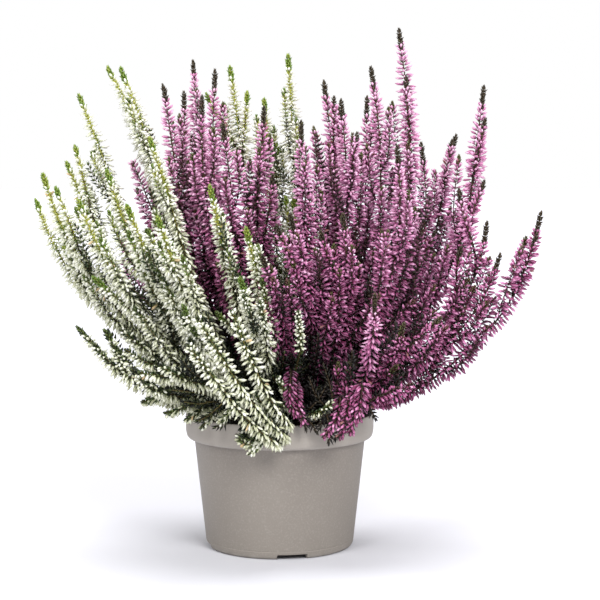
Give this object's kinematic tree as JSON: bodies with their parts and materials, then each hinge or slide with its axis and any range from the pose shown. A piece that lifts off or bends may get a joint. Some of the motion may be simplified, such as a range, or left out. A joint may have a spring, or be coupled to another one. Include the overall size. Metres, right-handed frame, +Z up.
{
  "type": "potted heather",
  "caption": "Bushy heather with white-budded and pink-budded upright shoots growing together in a round, tapered nursery pot with a collar.",
  "frame": {"origin": "on the ground under the middle of the pot, which is the middle of the plant's footprint", "axes": "+Z up along the pot's axis, -Y to the front, where the white shoots are on the left and the pink ones on the right, +X to the right"},
  "size_m": [0.3172, 0.2002, 0.3276],
  "materials": {
    "pot_plastic": "matt moulded, warm grey",
    "potting_mix": "rough, dark crumbs",
    "woody_bark": "rough bark",
    "white_buds": "matt petals, ivory with green tips",
    "pink_buds": "matt petals, magenta pink with dark tips"
  },
  "bodies": {
    "root": {"pot": "pot_plastic", "soil": "potting_mix", "white_crown_front": "woody_bark", "white_crown_back": "woody_bark", "pink_crown_right": "woody_bark", "pink_crown_back": "woody_bark", "white_shoot_01": "white_buds", "white_shoot_02": "white_buds", "white_shoot_03": "white_buds", "white_shoot_04": "white_buds", "white_shoot_05": "white_buds", "white_shoot_06": "white_buds", "white_shoot_07": "white_buds", "white_shoot_08": "white_buds", "white_shoot_09": "white_buds", "white_shoot_10": "white_buds", "white_shoot_11": "white_buds", "white_shoot_12": "white_buds", "white_shoot_13": "white_buds", "white_shoot_14": "white_buds", "white_shoot_15": "white_buds", "white_shoot_16": "white_buds", "white_shoot_17": "white_buds", "white_shoot_18": "white_buds", "white_shoot_19": "white_buds", "white_shoot_20": "white_buds", "white_shoot_21": "white_buds", "white_shoot_22": "white_buds", "pink_shoot_01": "pink_buds", "pink_shoot_02": "pink_buds", "pink_shoot_03": "pink_buds", "pink_shoot_04": "pink_buds", "pink_shoot_05": "pink_buds", "pink_shoot_06": "pink_buds", "pink_shoot_07": "pink_buds", "pink_shoot_08": "pink_buds", "pink_shoot_09": "pink_buds", "pink_shoot_10": "pink_buds", "pink_shoot_11": "pink_buds", "pink_shoot_12": "pink_buds", "pink_shoot_13": "pink_buds", "pink_shoot_14": "pink_buds", "pink_shoot_15": "pink_buds", "pink_shoot_16": "pink_buds", "pink_shoot_17": "pink_buds", "pink_shoot_18": "pink_buds", "pink_shoot_19": "pink_buds", "pink_shoot_20": "pink_buds", "pink_shoot_21": "pink_buds", "pink_shoot_22": "pink_buds", "pink_shoot_23": "pink_buds", "pink_shoot_24": "pink_buds", "pink_shoot_25": "pink_buds", "pink_shoot_26": "pink_buds", "pink_shoot_27": "pink_buds", "pink_shoot_28": "pink_buds", "pink_shoot_29": "pink_buds", "pink_shoot_30": "pink_buds", "pink_shoot_31": "pink_buds", "pink_shoot_32": "pink_buds"}
  },
  "joints": []
}
